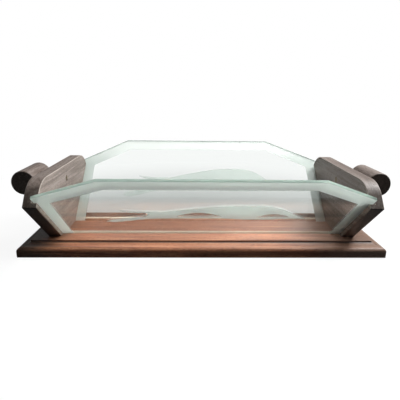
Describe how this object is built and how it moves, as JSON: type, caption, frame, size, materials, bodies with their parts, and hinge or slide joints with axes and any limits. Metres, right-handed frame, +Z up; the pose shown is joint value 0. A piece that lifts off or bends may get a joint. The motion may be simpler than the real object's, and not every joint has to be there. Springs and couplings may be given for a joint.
{
  "type": "tabletop display case",
  "caption": "Long open-topped tabletop display case: sloping glass panes in grooves between wooden ends on a moulded base, with a round handle at each end.",
  "frame": {"origin": "middle of the felt's underside, where the case stands on the table", "axes": "+X along the length towards the right end, +Y from the front pane towards the back pane, +Z up"},
  "size_m": [0.481, 0.2808, 0.1143],
  "materials": {
    "rosewood": "satin oiled dark wood",
    "base_wood": "satin oiled red-brown wood",
    "dowel_wood": "plain beech",
    "etched_glass": "clear glass with a frosted border and an etched pattern",
    "brass": "aged brass, nearly black",
    "felt": "dark green felt"
  },
  "bodies": {
    "case": {"base": "base_wood", "felt": "felt", "left_end": "rosewood", "right_end": "rosewood", "left_handle": "rosewood", "right_handle": "rosewood", "left_handle_neck": "rosewood", "right_handle_neck": "rosewood", "left_handle_screw": "brass", "right_handle_screw": "brass", "left_end_screw_front": "brass", "left_end_screw_back": "brass", "right_end_screw_front": "brass", "right_end_screw_back": "brass", "left_end_dowel_front": "dowel_wood", "left_end_dowel_back": "dowel_wood", "right_end_dowel_front": "dowel_wood", "right_end_dowel_back": "dowel_wood"},
    "front_glass": {"front_pane": "etched_glass"},
    "back_glass": {"back_pane": "etched_glass"}
  },
  "joints": [
    {"name": "front_pane_slide", "type": "slide", "parent": "case", "child": "front_glass", "axis": [0, -0.7547, 0.6561], "range_m": [0, 0.105]},
    {"name": "back_pane_slide", "type": "slide", "parent": "case", "child": "back_glass", "axis": [0, 0.7547, 0.6561], "range_m": [0, 0.105]}
  ]
}
